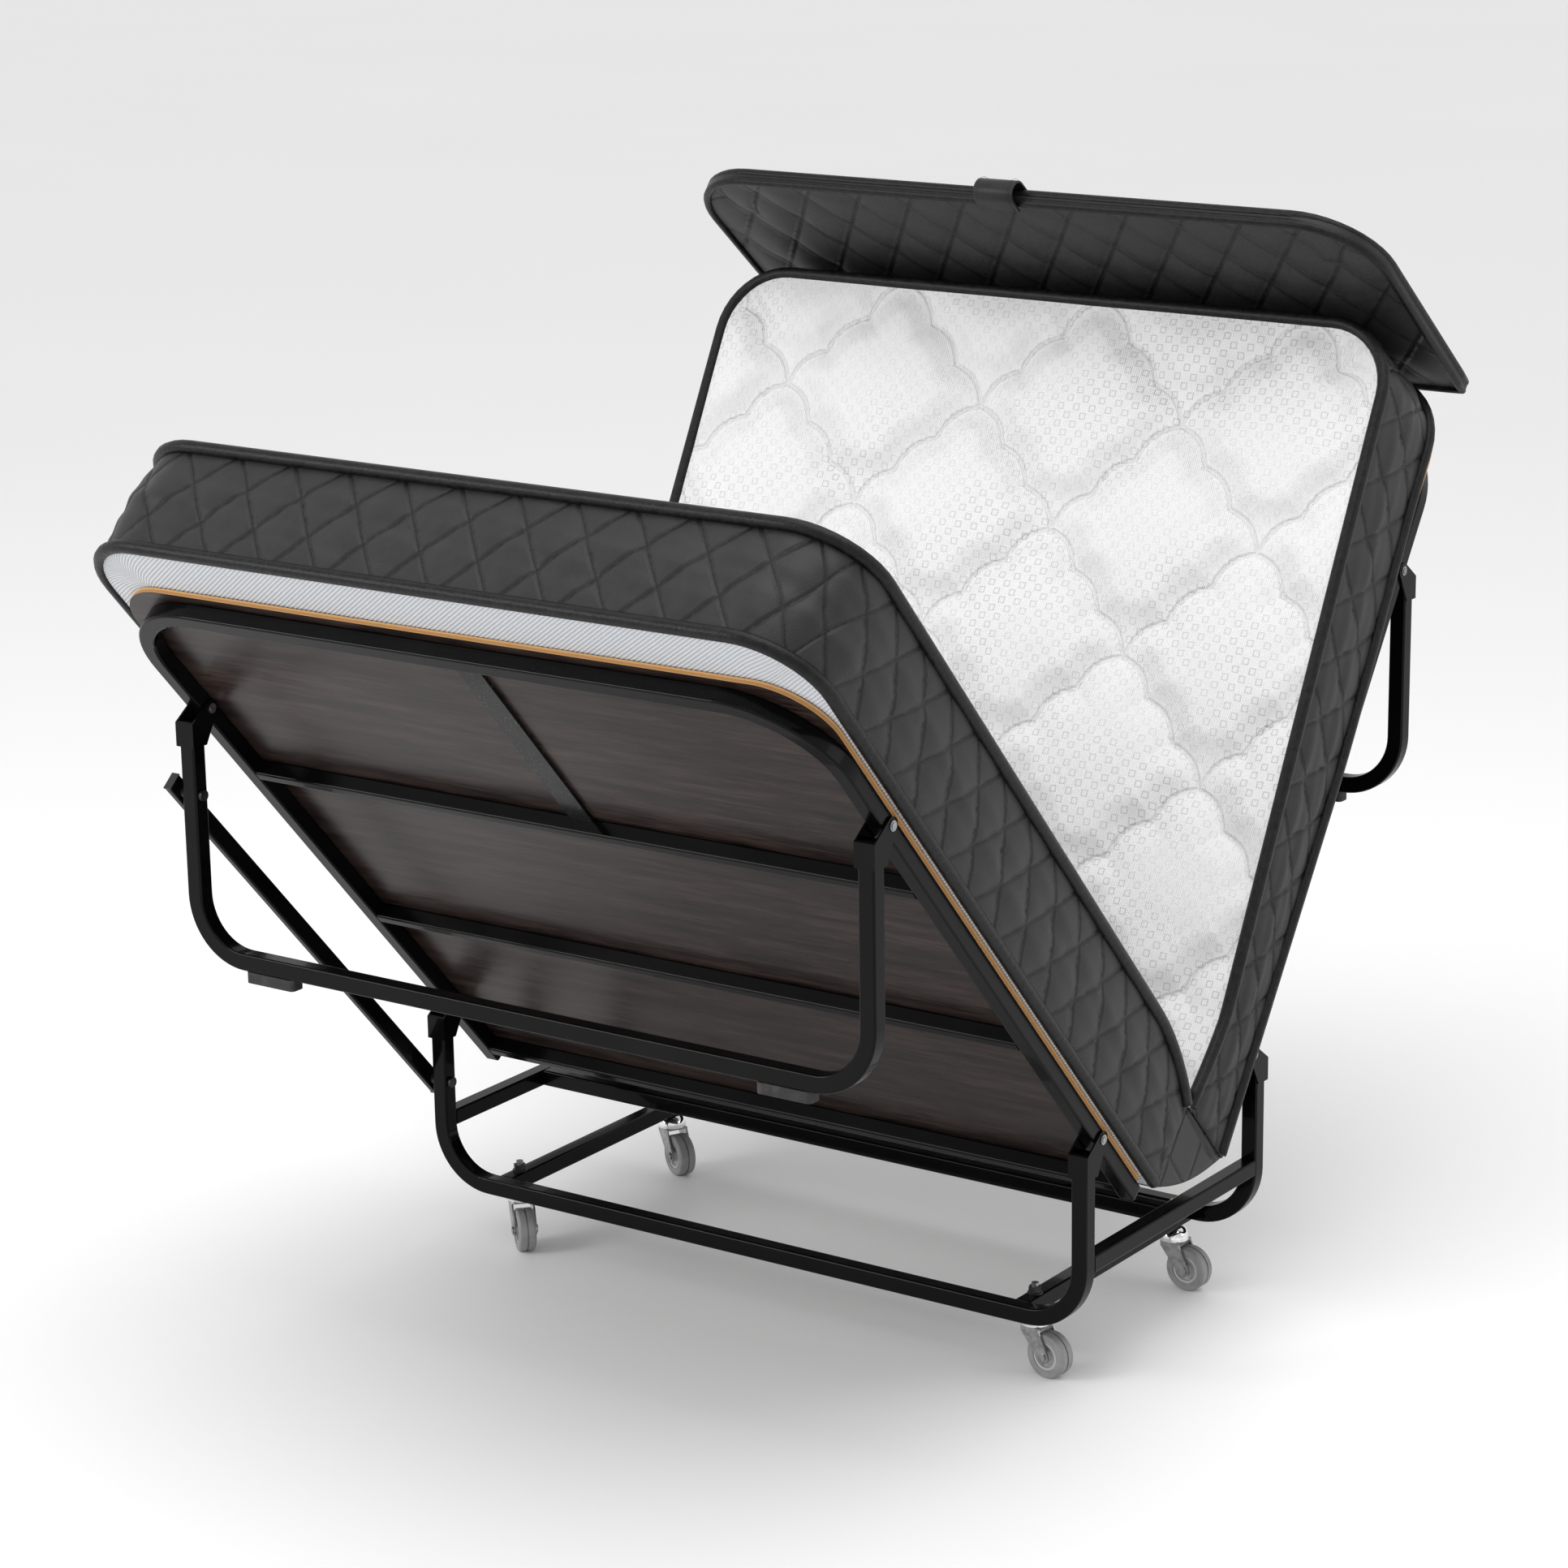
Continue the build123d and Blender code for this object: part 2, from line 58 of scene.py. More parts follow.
# ---- mattress, drawn in deck terms: s along the deck, y across, off above the rails
HALF_WIDTH = 0.450
CORNER = 0.080
TAIL_LOW = -0.125               # where both halves' bottoms end, past the fold pivots
FLOOR_OFF = 0.0165
PIPING_RADIUS = 0.0072
BAND_TALL = 0.137               # border height, bottom tape to top tape
BORDER_CROWN = 0.004            # swell of the border between its tapes
BORDER_PUFF = 0.0048
BORDER_SUNK = 0.0045            # how far a sewn line lies inside the plain block
BORDER_UNEVEN = 0.0018
TOP_PUFF = 0.0175
TOP_SUNK = 0.0115
TOP_UNEVEN = 0.0030
BOTTOM_UNEVEN = 0.0004
RIM_FADE = 0.05                 # quilting grows to its full height over this width
FOLD_INSET = 0.001
DIAMOND_WIDE = 0.071
DIAMOND_TALL = 0.091
FLAP_WIDE = 0.072               # flap quilting, across and towards the free edge
FLAP_TALL = 0.105
CELL_LONG = 0.278               # big scalloped cells of the white top, along the half
CELL_WIDE = 0.271
CELL_START = (0.796, -0.071)
SCALLOPS = 3                    # along one side of a cell
SCALLOP_DEEP = 0.050
SQUARE_STEP = 0.021


class Mattress:
    """Profile of one mattress half."""

    def __init__(self, name, angle, side, end, tail_top):
        self.name = name
        self.end = end
        self.tail_top = tail_top
        self.tail_low = TAIL_LOW
        tilt = math.radians(angle)
        along = Vector((side * math.cos(tilt), 0, math.sin(tilt)))
        up = Vector((-side * math.sin(tilt), 0, math.cos(tilt)))
        columns = (along, Vector((0, 1, 0)), up)
        turn = Matrix([[column[row] for column in columns] for row in range(3)])
        self.place = Matrix.Translation((side * PIVOT_X, 0, PIVOT_Z)) @ turn.to_4x4()
        self.up = up

    def top(self, s):
        """Height of the quilted top along the half."""
        if self.name == "near":
            fall = max(0.0, 0.020 - s) / 0.140
            return 0.151 - 0.035 * fall ** 2
        rise = 0.103 + 0.1163 * max(s - 0.013, 0.0)
        return rise + 0.019 * (max(0.013 - s, 0.0) / 0.114) ** 1.5

    def bottom(self, s):
        """The far half lifts off its board towards the head end."""
        if self.name == "near":
            return FLOOR_OFF
        return FLOOR_OFF + 0.026 * smooth((s - 0.30) / 0.45)


def smooth(t):
    """0 to 1 with a soft start and end, held beyond."""
    t = min(max(t, 0.0), 1.0)
    return t * t * (3 - 2 * t)


# ---- shader expressions

class Wire:
    """A shader socket that does arithmetic by adding Math nodes."""

    def __init__(self, paint, socket):
        self.paint = paint
        self.socket = socket

    def math(self, operation, *values):
        return self.paint.node("ShaderNodeMath", {"operation": operation}, values)

    def __add__(self, other):
        return self.math("ADD", self, other)

    def __sub__(self, other):
        return self.math("SUBTRACT", self, other)

    def __rsub__(self, other):
        return self.math("SUBTRACT", other, self)

    def __mul__(self, other):
        return self.math("MULTIPLY", self, other)

    def __truediv__(self, other):
        return self.math("DIVIDE", self, other)

    __radd__ = __add__
    __rmul__ = __mul__

    def sin(self):
        return self.math("SINE", self)

    def abs(self):
        return self.math("ABSOLUTE", self)

    def fract(self):
        return self.math("FRACT", self)

    def above(self, level):
        return self.math("GREATER_THAN", self, level)

    def below(self, level):
        return self.math("LESS_THAN", self, level)

    def low(self, other):
        return self.math("MINIMUM", self, other)

    def high(self, other):
        return self.math("MAXIMUM", self, other)

    def to_line(self):
        """Distance to the nearest whole number."""
        return ((self + 0.5).fract() - 0.5).abs()

    def fade(self, start, end):
        """0 at start, 1 at end, smooth and held beyond."""
        settings = {"interpolation_type": "SMOOTHSTEP"}
        return self.paint.node("ShaderNodeMapRange", settings, (self, start, end))


class Paint:
    """One procedural material on a Principled shader."""

    def __init__(self, name, **fixed):
        self.material = bpy.data.materials.new(name)
        self.material.use_nodes = True
        self.tree = self.material.node_tree
        self.tree.nodes.clear()
        self.shader = self.tree.nodes.new("ShaderNodeBsdfPrincipled")
        output = self.tree.nodes.new("ShaderNodeOutputMaterial")
        self.tree.links.new(self.shader.outputs[0], output.inputs["Surface"])
        for socket, value in fixed.items():
            self.shader.inputs[socket.replace("_", " ")].default_value = value

    def node(self, kind, settings=None, values=(), output=0):
        """Add any node: its settings first, then the values or wires of its sockets."""
        made = self.tree.nodes.new(kind)
        for name, value in (settings or {}).items():
            if name == "stops":
                self.set_stops(made.color_ramp, value)
            else:
                setattr(made, name, value)
        pairs = values.items() if isinstance(values, dict) else enumerate(values)
        for key, value in pairs:
            if isinstance(value, Wire):
                self.tree.links.new(value.socket, made.inputs[key])
            else:
                made.inputs[key].default_value = value
        return Wire(self, made.outputs[output])

    @staticmethod
    def set_stops(ramp, stops):
        while len(ramp.elements) < len(stops):
            ramp.elements.new(1.0)
        for element, (position, colour) in zip(ramp.elements, stops):
            element.position = position
            element.color = (*colour, 1.0)

    def drive(self, socket, wire):
        self.tree.links.new(wire.socket, self.shader.inputs[socket])
        return self

    def place(self, output="Object", scale=(1, 1, 1), turn=(0, 0, 0)):
        source = self.node("ShaderNodeTexCoord", output=output)
        values = {"Vector": source, "Rotation": turn, "Scale": scale}
        return self.node("ShaderNodeMapping", {}, values)

    def split(self, vector):
        parts = self.node("ShaderNodeSeparateXYZ", {}, (vector,)).socket.node
        return [Wire(self, output) for output in parts.outputs]

    def noise(self, vector, scale, detail=3.0, roughness=0.5):
        values = {"Vector": vector, "Scale": scale, "Detail": detail, "Roughness": roughness}
        return self.node("ShaderNodeTexNoise", {}, values)

    def ramp(self, wire, *stops):
        return self.node("ShaderNodeValToRGB", {"stops": stops}, (wire,))

    def mix(self, factor, first, second):
        """Mix two colours, each a wire or three numbers."""
        values = {"Factor": factor}
        ends = {6: first, 7: second}
        for index, colour in ends.items():
            values[index] = colour if isinstance(colour, Wire) else (*colour, 1.0)
        mixed = self.node("ShaderNodeMix", {"data_type": "RGBA"}, values)
        return Wire(self, mixed.socket.node.outputs[2])

    def bump(self, height, depth, strength=1.0):
        values = {"Strength": strength, "Distance": depth, "Height": height}
        return self.drive("Normal", self.node("ShaderNodeBump", {}, values))


def enamel():
    """Gloss black stoving enamel on steel tube."""
    paint = Paint("enamel", Coat_Weight=0.14, Coat_Roughness=0.04, Specular_IOR_Level=0.05)
    spot = paint.place()
    scuff = paint.noise(spot, 38.0, 5.0, 0.65)
    dust = paint.noise(spot, 9.0, 2.0).fade(0.45, 0.75)
    fine = paint.noise(spot, 900.0, 1.0)
    colour = paint.mix(dust * 0.5, (0.002, 0.002, 0.0022), (0.005, 0.005, 0.0053))
    paint.drive("Base Color", colour)
    paint.drive("Roughness", scuff * 0.16 + 0.13)
    return paint.bump(fine, 0.0002, 0.25)


def speckled_enamel():
    """The centre strut's enamel, with overspray speckle."""
    paint = Paint("speckled_enamel", Coat_Weight=0.12, Coat_Roughness=0.1, Specular_IOR_Level=0.15)
    spot = paint.place()
    speck = paint.noise(spot, 420.0, 2.0, 0.7).fade(0.60, 0.72)
    paint.drive("Base Color", paint.mix(speck, (0.004, 0.004, 0.0045), (0.10, 0.10, 0.10)))
    paint.drive("Roughness", paint.noise(spot, 60.0) * 0.2 + 0.2)
    return paint.bump(speck, 0.0003, 0.3)


def zinc(name, grey, rough):
    """Zinc plate with the faint spangle and rub marks of handled fasteners."""
    paint = Paint(name, Metallic=1.0)
    spot = paint.place()
    cloud = paint.noise(spot, 120.0, 4.0, 0.6)
    light = (grey, grey, grey * 1.02)
    dark = (grey * 0.6, grey * 0.6, grey * 0.62)
    paint.drive("Base Color", paint.mix(cloud.fade(0.35, 0.7), light, dark))
    paint.drive("Roughness", cloud * 0.2 + rough)
    return paint.bump(paint.noise(spot, 1400.0, 1.0), 0.0001, 0.2)


def chrome():
    """Polished chrome with a little haze."""
    paint = Paint("chrome", Metallic=1.0)
    spot = paint.place()
    haze = paint.noise(spot, 70.0, 3.0)
    colour = paint.mix(haze.fade(0.4, 0.8), (0.86, 0.86, 0.87), (0.62, 0.62, 0.64))
    paint.drive("Base Color", colour)
    return paint.drive("Roughness", haze * 0.10 + 0.03)


def moulded(name, colour, worn, rough, grain=700.0):
    """Moulded plastic or rubber with a scuffed, slightly grained surface."""
    paint = Paint(name)
    spot = paint.place()
    rub = paint.noise(spot, 55.0, 4.0, 0.6)
    paint.drive("Base Color", paint.mix(rub.fade(0.42, 0.75), colour, worn))
    paint.drive("Roughness", rub * 0.22 + rough)
    return paint.bump(paint.noise(spot, grain, 2.0), 0.0002, 0.4)


def veneer(name, turn):
    """Dark wenge film with the grain across the bed, and pale plies on the sawn edge."""
    paint = Paint(name, Coat_Weight=0.06, Coat_Roughness=0.16, Specular_IOR_Level=0.18)
    spot = paint.place(turn=(0, turn, 0))
    up = paint.split(spot)[2]
    streak = paint.place(scale=(70.0, 6.0, 70.0), turn=(0, turn, 0))
    fine = paint.place(scale=(420.0, 22.0, 420.0), turn=(0, turn, 0))
    broad = paint.noise(streak, 1.0, 5.0, 0.62)
    pores = paint.noise(fine, 1.0, 3.0, 0.6)
    grain = paint.ramp(broad * 0.5 + pores * 0.5, (0.36, (0.0050, 0.0032, 0.0028)),
                       (0.48, (0.0170, 0.0108, 0.0092)), (0.62, (0.0430, 0.0280, 0.0235)))
    middle = 0.0125 + deck_height(turn)
    from_middle = (up - middle).abs()
    edge = from_middle.below(0.00285)
    plies = (up * 1050.0).sin().fade(-0.4, 0.4)
    sawn = paint.mix(plies * 0.7 + pores * 0.3, (0.42, 0.20, 0.065), (0.68, 0.40, 0.17))
    paint.drive("Base Color", paint.mix(edge, grain, sawn))
    paint.drive("Roughness", edge * 0.3 + pores * 0.18 + 0.24)
    return paint.bump(pores, 0.0002, 0.35)


def deck_height(turn):
    """Height of a deck's rail plane once the object is turned flat about Y."""
    side = -1 if turn < 0 else 1
    x = side * PIVOT_X
    return math.cos(turn) * PIVOT_Z - math.sin(turn) * x


def quilt_lines(u, v, wide, tall):
    """Distances to two families of diagonal stitch lines, counted in line spacings."""
    first = (u / wide + v / tall).to_line()
    second = (u / wide - v / tall).to_line()
    return first, second


def leathercloth(name, wide, tall, second_strength=1.0):
    """Black coated cloth: fine grain, diagonal sewn lines on the piece's UV map, painted shade
    along the sewn lines.
    """
    paint = Paint(name, Coat_Weight=0.04, Coat_Roughness=0.4, Specular_IOR_Level=0.22)
    cloth = paint.place("UV")
    u, v, unused = paint.split(cloth)
    first, second = quilt_lines(u, v, wide, tall)
    dash = ((u + v * 0.3) * 230.0).fract().above(0.30)
    thread = first.below(0.011).high(second.below(0.011) * second_strength) * dash
    groove = first.fade(0.0, 0.09) * (second.fade(0.0, 0.09) * second_strength
                                      + (1.0 - second_strength))
    spot = paint.place()
    grain = paint.node("ShaderNodeTexVoronoi", {}, {"Vector": spot, "Scale": 620.0})
    crease = paint.noise(spot, 46.0, 6.0, 0.62)
    # Painted shade: the colour darkens along the sewn lines, where the groove mask is low, and
    # also where the crease noise is low.
    shade = crease.fade(0.3, 0.75) * 0.4 + groove * 0.6
    base = paint.mix(shade, (0.012, 0.012, 0.0122), (0.026, 0.026, 0.0265))
    paint.drive("Base Color", paint.mix(thread, base, (0.003, 0.003, 0.003)))
    paint.drive("Roughness", crease * 0.20 + 0.36)
    relief = groove * 1.0 + crease * 0.30 + grain * 0.10 - thread * 0.15
    return paint.bump(relief, 0.0022, 0.7)


def tape():
    """Black bound edge with a row of needle holes."""
    paint = Paint("tape", Coat_Weight=0.05, Coat_Roughness=0.35, Specular_IOR_Level=0.2)
    spot = paint.place()
    grain = paint.node("ShaderNodeTexVoronoi", {}, {"Vector": spot, "Scale": 700.0})
    crease = paint.noise(spot, 130.0, 4.0, 0.6)
    u, v, unused = paint.split(paint.place("UV"))
    hole = ((u * 150.0).fract() - 0.5).abs().below(0.22) * ((v - 0.62).abs().below(0.03))
    base = paint.mix(crease.fade(0.35, 0.7), (0.003, 0.003, 0.0032), (0.009, 0.009, 0.0093))
    paint.drive("Base Color", paint.mix(hole, base, (0.001, 0.001, 0.001)))
    paint.drive("Roughness", crease * 0.25 + 0.28)
    return paint.bump(crease + grain * 0.2 - hole * 1.5, 0.0012, 0.7)


def cell_lines(s, y):
    """Distances, in cells, to the two families of scalloped quilting lines."""
    along = (s - CELL_START[0]) / CELL_LONG
    across = (y - CELL_START[1]) / CELL_WIDE
    first = along + across
    second = along - across
    first_line = (first - (second * (math.pi * SCALLOPS)).sin().abs() * SCALLOP_DEEP).to_line()
    second_line = (second - (first * (math.pi * SCALLOPS)).sin().abs() * SCALLOP_DEEP).to_line()
    return first_line, second_line


def square_outlines(s, y):
    """Small outlined squares woven in a staggered grid."""
    across = (s / SQUARE_STEP).to_line().high((y / SQUARE_STEP).to_line())
    between = (s / SQUARE_STEP + 0.5).to_line().high((y / SQUARE_STEP + 0.5).to_line())
    return (across - 0.165).abs().low((between - 0.165).abs()).below(0.026)


def white_knit():
    """White stretch knit: big scalloped quilting, small woven squares, fine jersey texture,
    painted shade along the quilting seams.
    """
    paint = Paint("white_knit", Sheen_Weight=0.2, Sheen_Roughness=0.5)
    s, y, unused = paint.split(paint.place("UV"))
    first, second = cell_lines(s, y)
    line = first.low(second)
    seam = 1.0 - line.fade(0.0, 0.024)
    puff = first.fade(0.0, 0.20) * second.fade(0.0, 0.20)
    outline = square_outlines(s, y)
    spot = paint.place()
    wrinkle = paint.noise(spot, 17.0, 4.0, 0.5)
    satin = outline * paint.noise(spot, 4.5, 2.0).fade(0.36, 0.60)
    rib = (y * 2600.0).sin() * (s * 1500.0).sin()
    # Painted shade: the colour darkens along the scalloped quilting seams; the woven squares
    # darken it too.
    shade = (1.0 - seam * 0.10) * (1.0 - satin * 0.40)
    paint.drive("Base Color", paint.mix(shade, (0.22, 0.22, 0.225), (0.74, 0.74, 0.74)))
    paint.drive("Roughness", 0.85 - outline * 0.35 + wrinkle * 0.1)
    relief = puff * 1.1 - seam * 0.22 - outline * 0.10 + rib * 0.03 + wrinkle * 0.45
    return paint.bump(relief, 0.010, 0.9)


def corded_mesh():
    """Bluish-white open underside cloth with diagonal cords."""
    paint = Paint("corded_mesh", Sheen_Weight=0.2)
    s, y, unused = paint.split(paint.place("UV"))
    cord = ((s + y * 0.8) * 1300.0).sin()
    cross = ((s - y * 0.9) * 2100.0).sin()
    open_weave = (cord * 0.5 + 0.5) * (cross * 0.25 + 0.75)
    cloud = paint.noise(paint.place(), 12.0, 3.0)
    colour = paint.mix(open_weave, (0.40, 0.42, 0.45), (0.78, 0.80, 0.83))
    paint.drive("Base Color", colour)
    paint.drive("Roughness", cloud * 0.2 + 0.7)
    return paint.bump(open_weave + cloud * 0.6, 0.0012, 0.7)


ENAMEL = enamel().material
SPECKLED = speckled_enamel().material
RIVET_ZINC = zinc("rivet_zinc", 0.38, 0.20).material
FORK_ZINC = zinc("fork_zinc", 0.40, 0.20).material
CHROME = chrome().material
BLACK_BOLT = moulded("bolt_black", (0.006, 0.006, 0.0065), (0.03, 0.03, 0.03), 0.28).material
CAP_PLASTIC = moulded("cap_plastic", (0.007, 0.007, 0.007), (0.02, 0.02, 0.02), 0.36).material
FOOT_RUBBER = moulded("foot_rubber", (0.013, 0.013, 0.013), (0.05, 0.048, 0.045), 0.6).material
TREAD = moulded("tread_grey", (0.26, 0.26, 0.26), (0.19, 0.19, 0.19), 0.36).material
HUB = moulded("hub_grey", (0.48, 0.48, 0.48), (0.36, 0.36, 0.36), 0.30).material
VENEER = {"near": veneer("veneer_near", math.radians(-NEAR_ANGLE)).material,
          "far": veneer("veneer_far", math.radians(FAR_ANGLE)).material}
BORDER = leathercloth("quilted_border", DIAMOND_WIDE, DIAMOND_TALL).material
FLAP_CLOTH = leathercloth("quilted_flap", FLAP_WIDE, FLAP_TALL, 0.5).material
TAPE = tape().material
WHITE = white_knit().material
UNDERSIDE = corded_mesh().material


def plain_leathercloth():
    """The same cloth where it isn't quilted."""
    paint = Paint("plain_leathercloth", Coat_Weight=0.04, Coat_Roughness=0.4,
                  Specular_IOR_Level=0.22)
    spot = paint.place()
    grain = paint.node("ShaderNodeTexVoronoi", {}, {"Vector": spot, "Scale": 620.0})
    crease = paint.noise(spot, 70.0, 5.0, 0.6)
    paint.drive("Base Color", paint.mix(crease, (0.008, 0.008, 0.0082), (0.021, 0.021, 0.0215)))
    paint.drive("Roughness", crease * 0.2 + 0.3)
    return paint.bump(crease * 0.6 + grain * 0.15, 0.0015, 0.6)


PLAIN_CLOTH = plain_leathercloth().material


def finish_node(name, material):
    """Give a CAD node its material, without touching its mesh."""
    node = frame["nodes"][name]
    if not node.material_slots:
        node.data.materials.append(material)
    for slot in node.material_slots:
        slot.material = material


def finish_frame():
    """Every CAD node is enamelled, except the ones whose names end as listed."""
    endings = (("pivot_rivets", RIVET_ZINC), ("link_bolts", BLACK_BOLT), ("link_bolt", BLACK_BOLT),
               ("castor_nuts", BLACK_BOLT), ("castor_stems", RIVET_ZINC),
               ("castor_raceways", CHROME), ("_fork", FORK_ZINC), ("_axle", RIVET_ZINC),
               ("_hub", HUB), ("_tyre", TREAD), ("rail_caps", CAP_PLASTIC),
               ("link_caps_near", CAP_PLASTIC), ("link_caps_far", CAP_PLASTIC),
               ("foot_pads", FOOT_RUBBER), ("centre_strut", SPECKLED),
               ("deck_near_plywood", VENEER["near"]), ("deck_far_plywood", VENEER["far"]),
               ("flap_hem", PLAIN_CLOTH))
    for name in frame["nodes"]:
        material = ENAMEL
        for ending, finish in endings:
            if name.endswith(ending):
                material = finish
        finish_node(name, material)


# ---- mesh helpers

def new_piece(name, bm, materials):
    """Turn a bmesh into a smooth-shaded object at the origin."""
    mesh = bpy.data.meshes.new(name)
    bm.to_mesh(mesh)
    bm.free()
    piece = bpy.data.objects.new(name, mesh)
    bpy.context.scene.collection.objects.link(piece)
    for material in materials:
        mesh.materials.append(material)
    mesh.shade_smooth()
    return piece


def unit_block(columns, rows, layers):
    """Closed block of quads, 0 to 1 each way; material 0 on top, 1 on walls, 2 below."""
    bm = bmesh.new()
    made = bmesh.ops.create_grid(bm, x_segments=columns, y_segments=rows, size=0.5)
    bmesh.ops.translate(bm, verts=made["verts"], vec=(0.5, 0.5, 0))
    for face in bm.faces:
        face.material_index = 2
    rim = [edge for edge in bm.edges if edge.is_boundary]
    for layer in range(layers):
        grown = bmesh.ops.extrude_edge_only(bm, edges=rim)["geom"]
        moved = [item for item in grown if isinstance(item, bmesh.types.BMVert)]
        bmesh.ops.translate(bm, verts=moved, vec=(0, 0, 1 / layers))
        for face in (item for item in grown if isinstance(item, bmesh.types.BMFace)):
            face.material_index = 1
        rim = [item for item in grown
               if isinstance(item, bmesh.types.BMEdge) and item.is_boundary]
    lid = bmesh.ops.create_grid(bm, x_segments=columns, y_segments=rows, size=0.5)
    bmesh.ops.translate(bm, verts=lid["verts"], vec=(0.5, 0.5, 1))
    bmesh.ops.remove_doubles(bm, verts=bm.verts, dist=1e-4)
    bmesh.ops.recalc_face_normals(bm, faces=bm.faces)
    return bm


def round_end(x, y, length, half_width, corner):
    """Turn the square plan corners at the x = length end into round ones."""
    a = (x - (length - corner)) / corner
    b = (abs(y) - (half_width - corner)) / corner
    if a <= 0 or b <= 0:
        return x, y
    reach = max(a, b) / math.hypot(a, b)
    sign = 1 if y > 0 else -1
    return length - corner + corner * a * reach, sign * (half_width - corner + corner * b * reach)


def wall_direction(x, y, length, half_width, corner, inner):
    """Outward plan direction of a wall point."""
    a = x - (length - corner)
    b = abs(y) - (half_width - corner)
    sign = 1 if y > 0 else -1
    if a > 0 and b > 0:
        away = Vector((a, sign * b, 0))
        return away.normalized()
    if abs(x - inner) < 1e-5:
        return Vector((-1, 0, 0))
    if abs(abs(y) - half_width) < 1e-5:
        return Vector((0, sign, 0))
    return Vector((1, 0, 0))


def around(x, y, length, half_width, inner):
    """Distance along the unrounded walls, starting at the right wall's inner end."""
    if y <= -half_width + 1e-6:
        return x
    if x >= length - 1e-6:
        return length + y + half_width
    if y >= half_width - 1e-6:
        return 2 * length + 2 * half_width - x
    return inner - (y + half_width)


def ripple(x, y, seed):
    """Smooth, repeatable unevenness between -1 and 1."""
    return (math.sin(9.1 * x + seed) * math.cos(7.3 * y - 1.7 * seed)
            + 0.5 * math.sin(21.0 * x - 15.0 * y + 2.3 * seed)) / 1.5


def cell_puff(s, y):
    """Height of the scalloped quilting, 0 on a sewn line and 1 between lines."""
    along = (s - CELL_START[0]) / CELL_LONG
    across = (y - CELL_START[1]) / CELL_WIDE
    first = along + across
    second = along - across
    first_line = first - SCALLOP_DEEP * abs(math.sin(math.pi * SCALLOPS * second))
    second_line = second - SCALLOP_DEEP * abs(math.sin(math.pi * SCALLOPS * first))
    return abs(math.sin(math.pi * first_line) * math.sin(math.pi * second_line)) ** 0.38


def diamond_puff(u, v):
    """Height of the border's quilting, 0 on a sewn line and 1 between lines."""
    first = abs(math.sin(math.pi * (u / DIAMOND_WIDE + v / DIAMOND_TALL)))
    second = abs(math.sin(math.pi * (u / DIAMOND_WIDE - v / DIAMOND_TALL)))
    return (first * second) ** 0.30


def tube_along(name, points, radius, material, place, closed=True):
    """Round bound edge along a line of points; an open one gets flat ends."""
    bm = bmesh.new()
    count = len(points)
    sides = 10
    rings = []
    for index, point in enumerate(points):
        if closed:
            ahead = (points[(index + 1) % count] - points[index - 1]).normalized()
        else:
            ahead = (points[min(index + 1, count - 1)] - points[max(index - 1, 0)]).normalized()
        side = ahead.cross(Vector((0, 0, 1)))
        if side.length < 1e-3:
            side = Vector((0, 1, 0))
        side.normalize()
        frame_turn = Matrix([side, ahead.cross(side), ahead]).transposed().to_4x4()
        ring = bmesh.ops.create_circle(bm, segments=sides, radius=radius)["verts"]
        bmesh.ops.transform(bm, matrix=Matrix.Translation(point) @ frame_turn, verts=ring)
        rings.append([edge for edge in {edge for vert in ring for edge in vert.link_edges}])
    for index in range(count if closed else count - 1):
        bmesh.ops.bridge_loops(bm, edges=rings[index] + rings[(index + 1) % count])
    if not closed:
        bmesh.ops.holes_fill(bm, edges=rings[0] + rings[-1], sides=sides)
    bmesh.ops.transform(bm, matrix=place, verts=bm.verts)
    bmesh.ops.recalc_face_normals(bm, faces=bm.faces)
    return new_piece(name, bm, [material])


def plan_outline(length, half_width, corner, inner, closed=True, step=0.018):
    """Plan line of a block with two round corners; the open one leaves out the inner end."""
    line = []
    count = max(2, round((length - corner - inner) / step))
    for index in range(count):
        line.append((inner + (length - corner - inner) * index / count, -half_width))
    for turn in range(0, 90, 9):
        angle = math.radians(turn)
        line.append((length - corner + corner * math.sin(angle),
                     -half_width + corner - corner * math.cos(angle)))
    across = 2 * (half_width - corner)
    for index in range(round(across / step)):
        line.append((length, -half_width + corner + across * index / round(across / step)))
    for turn in range(0, 90, 9):
        angle = math.radians(turn)
        line.append((length - corner + corner * math.cos(angle),
                     half_width - corner + corner * math.sin(angle)))
    for index in range(count + 1):
        line.append((length - corner - (length - corner - inner) * index / count, half_width))
    if closed:
        back = 2 * half_width
        for index in range(1, round(back / step)):
            line.append((inner, half_width - back * index / round(back / step)))
    return line


# ---- mattress

def mattress_point(half, x, y, h):
    """Point of the mattress before quilting; x is s on the bottom's scale, h from 0 to 1."""
    share = (x - half.tail_low) / (half.end - half.tail_low)
    s_top = half.tail_top + share * (half.end - half.tail_top)
    s = x + (s_top - x) * h
    return Vector((s, y, half.bottom(s) + h * (half.top(s) - half.bottom(s))))


